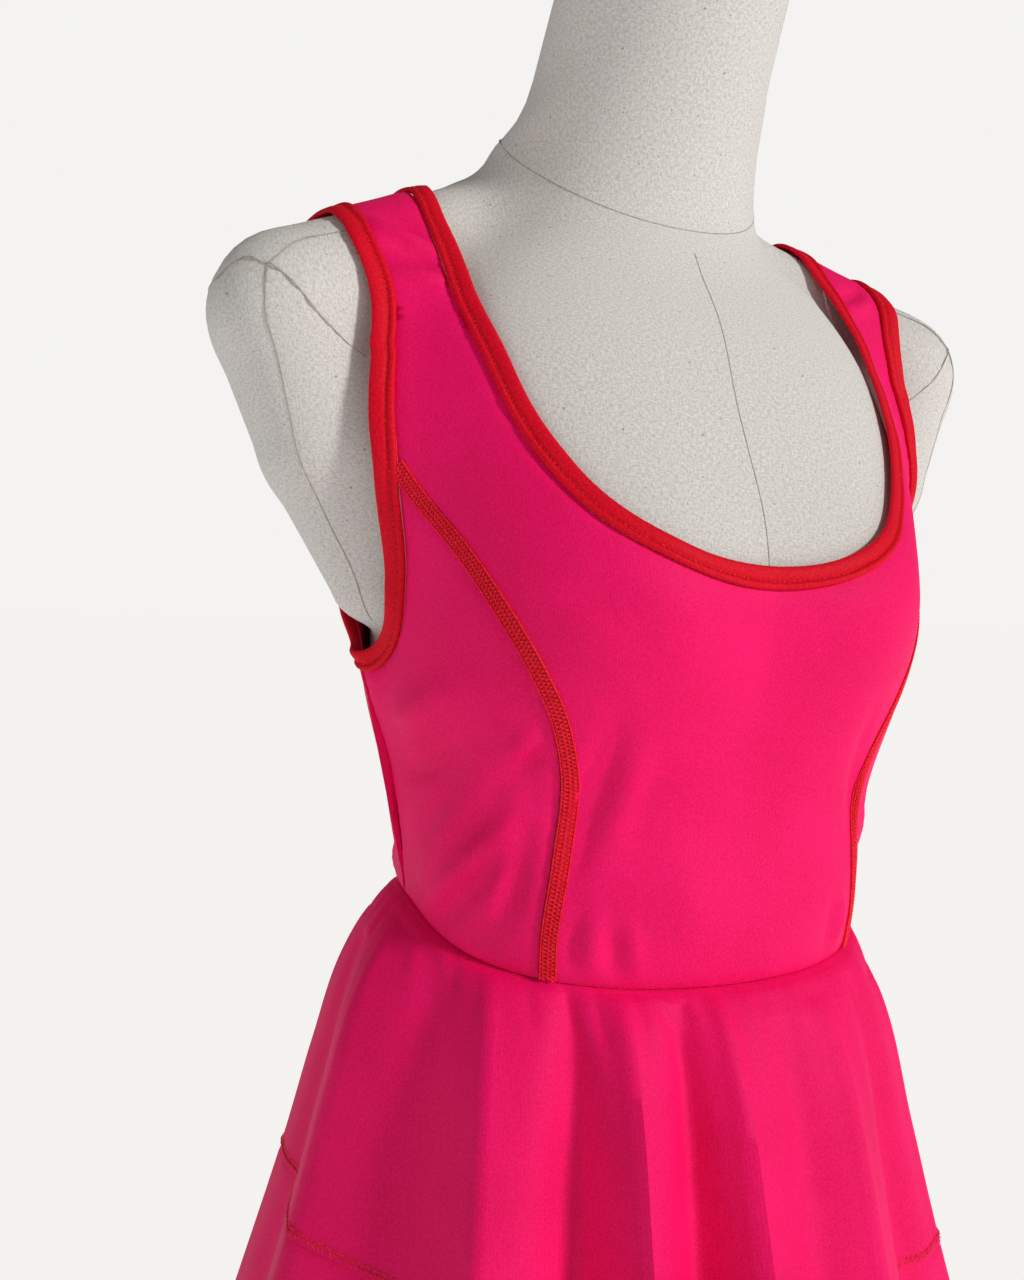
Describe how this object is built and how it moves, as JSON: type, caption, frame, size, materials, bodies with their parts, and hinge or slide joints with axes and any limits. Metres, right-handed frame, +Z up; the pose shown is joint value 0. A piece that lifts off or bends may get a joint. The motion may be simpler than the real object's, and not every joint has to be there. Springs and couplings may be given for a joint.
{
  "type": "athletic dress on a dress form",
  "caption": "Sleeveless scoop-neck athletic dress with princess seams, bound edges and a flared tiered skirt, worn by a limbless dress form on a pole with a round foot.",
  "frame": {"origin": "centre of the underside of the round foot, on the floor", "axes": "+Z up along the pole, -Y towards the wearer's front, +X towards the wearer's left"},
  "size_m": [0.4745, 0.4477, 1.536],
  "materials": {
    "pink_stretch_jersey": "matt stretch jersey, bright pink",
    "red_binding": "matt folded stretch binding, red",
    "natural_linen": "matt woven linen with fine slubs",
    "brushed_steel": "brushed steel"
  },
  "bodies": {
    "root": {"bodice_front": "pink_stretch_jersey", "bodice_side_front_right": "pink_stretch_jersey", "bodice_side_front_left": "pink_stretch_jersey", "bodice_back": "pink_stretch_jersey", "neck_binding": "red_binding", "armhole_binding_right": "red_binding", "armhole_binding_left": "red_binding", "skirt_front": "pink_stretch_jersey", "skirt_back": "pink_stretch_jersey", "flounce_front": "pink_stretch_jersey", "flounce_back": "pink_stretch_jersey", "form_body": "natural_linen", "stand_collar": "brushed_steel", "stand_pole": "brushed_steel", "stand_base": "brushed_steel"}
  },
  "joints": []
}
